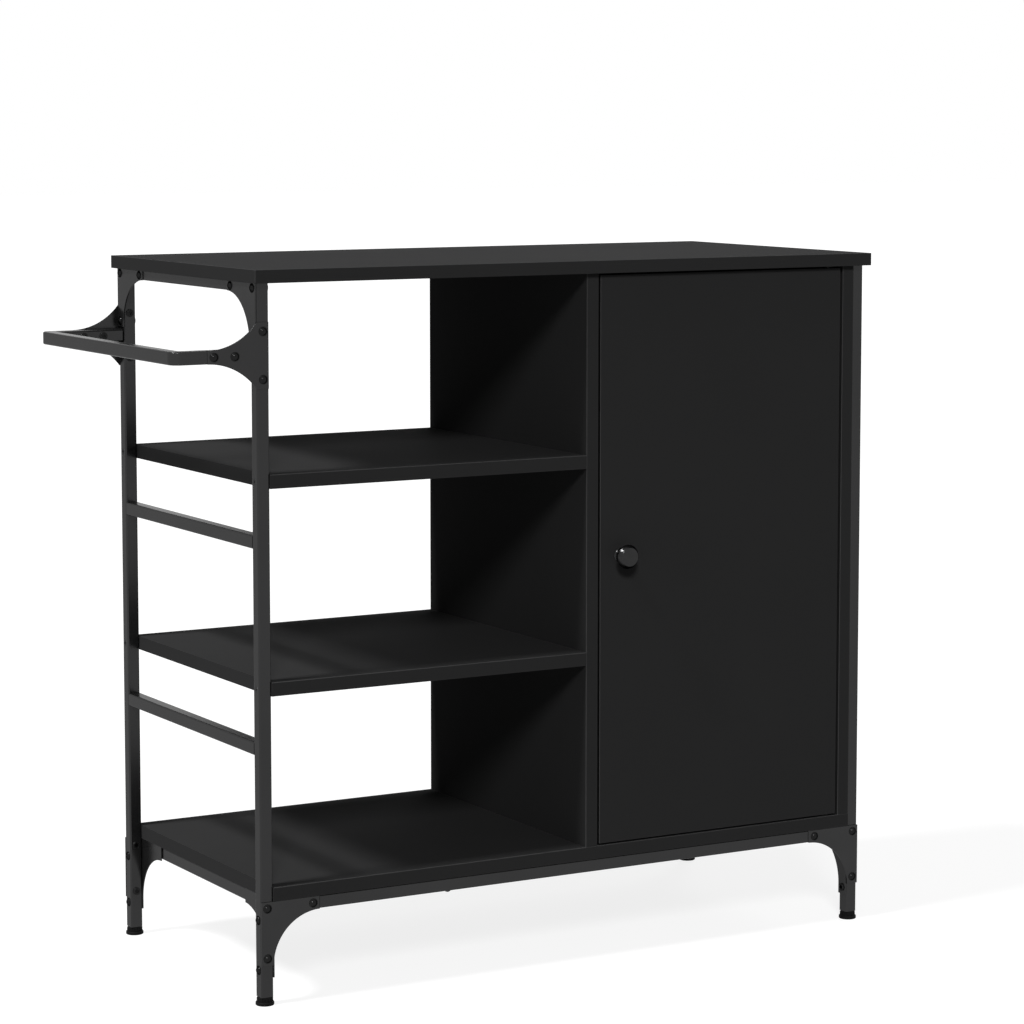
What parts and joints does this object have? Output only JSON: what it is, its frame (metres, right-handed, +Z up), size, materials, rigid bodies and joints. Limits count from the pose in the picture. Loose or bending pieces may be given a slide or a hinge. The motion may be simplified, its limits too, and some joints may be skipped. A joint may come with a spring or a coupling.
{
  "type": "kitchen island",
  "caption": "Black kitchen island on feet: square-tube frame with gusset plates, flat top, open shelves, a cupboard with a hinged door and knob, and a bar handle at one end.",
  "frame": {"origin": "middle of the whole footprint, handle and knob included, on the floor", "axes": "+Z up, +X to the right along the front, away from the handle, +Y to the back"},
  "size_m": [0.9204, 0.417, 0.825],
  "materials": {
    "frame_metal": "satin powder coat",
    "plate_metal": "satin powder coat",
    "board": "matte melamine face",
    "door_board": "matte melamine face",
    "back_board": "matte",
    "knob": "gloss",
    "bolt": "gloss",
    "nut": "satin",
    "foot_plastic": "matte",
    "black_plastic": "matte",
    "dowel_wood": "raw",
    "black_screw": "satin",
    "dark_zinc": "satin black zinc",
    "magnet": "matte",
    "zinc_steel": "satin"
  },
  "bodies": {
    "island_frame": {"back_base_rail": "frame_metal", "back_handle_bracket": "plate_metal", "back_left_base_gusset": "plate_metal", "back_left_post": "frame_metal", "back_panel_nails": "zinc_steel", "back_right_base_gusset": "plate_metal", "back_right_post": "frame_metal", "base_screws": "black_screw", "bottom_board": "board", "catch_magnet": "magnet", "catch_screws": "zinc_steel", "cupboard_back_panel": "back_board", "cupboard_shelf": "board", "cupboard_stretcher": "board", "divider_panel": "board", "divider_screws": "zinc_steel", "dome_bolts": "bolt", "dowels": "dowel_wood", "flat_nuts": "nut", "foot_plugs": "black_plastic", "front_base_rail": "frame_metal", "front_handle_bracket": "plate_metal", "front_left_base_gusset": "plate_metal", "front_left_post": "frame_metal", "front_right_base_gusset": "plate_metal", "front_right_post": "frame_metal", "handle_bar": "frame_metal", "left_back_side_gusset": "plate_metal", "left_back_top_gusset": "plate_metal", "left_base_rail": "frame_metal", "left_front_side_gusset": "plate_metal", "left_front_top_gusset": "plate_metal", "left_lower_rail": "frame_metal", "left_top_rail": "frame_metal", "left_upper_rail": "frame_metal", "magnetic_catch": "black_plastic", "middle_shelf": "board", "pivot_bushes": "black_plastic", "right_back_side_gusset": "plate_metal", "right_base_rail": "frame_metal", "right_front_side_gusset": "plate_metal", "right_side_panel": "board", "right_top_rail": "frame_metal", "shelf_pins": "zinc_steel", "shelf_screws": "dark_zinc", "side_panel_screws": "dark_zinc", "top_board": "board", "top_screws": "dark_zinc", "upper_shelf": "board"},
    "cupboard_door": {"door": "door_board", "door_knob": "knob", "knob_screw": "zinc_steel", "door_pivot_pins": "black_screw", "strike_plate": "zinc_steel", "strike_screw": "zinc_steel"},
    "back_left_foot_body": {"back_left_foot": "foot_plastic"},
    "back_right_foot_body": {"back_right_foot": "foot_plastic"},
    "front_left_foot_body": {"front_left_foot": "foot_plastic"},
    "front_right_foot_body": {"front_right_foot": "foot_plastic"}
  },
  "joints": [
    {"name": "door_hinge", "type": "hinge", "parent": "island_frame", "child": "cupboard_door", "pos_m": [0.40625, -0.177, 0.47], "axis": [0, 0, 1], "range_deg": [0, 110]},
    {"name": "front_left_foot_turn", "type": "hinge", "parent": "island_frame", "child": "front_left_foot_body", "pos_m": [-0.35175, -0.1755, 0.005], "axis": [0, 0, 1], "continuous": true},
    {"name": "back_left_foot_turn", "type": "hinge", "parent": "island_frame", "child": "back_left_foot_body", "pos_m": [-0.35175, 0.1915, 0.005], "axis": [0, 0, 1], "continuous": true},
    {"name": "front_right_foot_turn", "type": "hinge", "parent": "island_frame", "child": "front_right_foot_body", "pos_m": [0.44725, -0.1755, 0.005], "axis": [0, 0, 1], "continuous": true},
    {"name": "back_right_foot_turn", "type": "hinge", "parent": "island_frame", "child": "back_right_foot_body", "pos_m": [0.44725, 0.1915, 0.005], "axis": [0, 0, 1], "continuous": true}
  ]
}
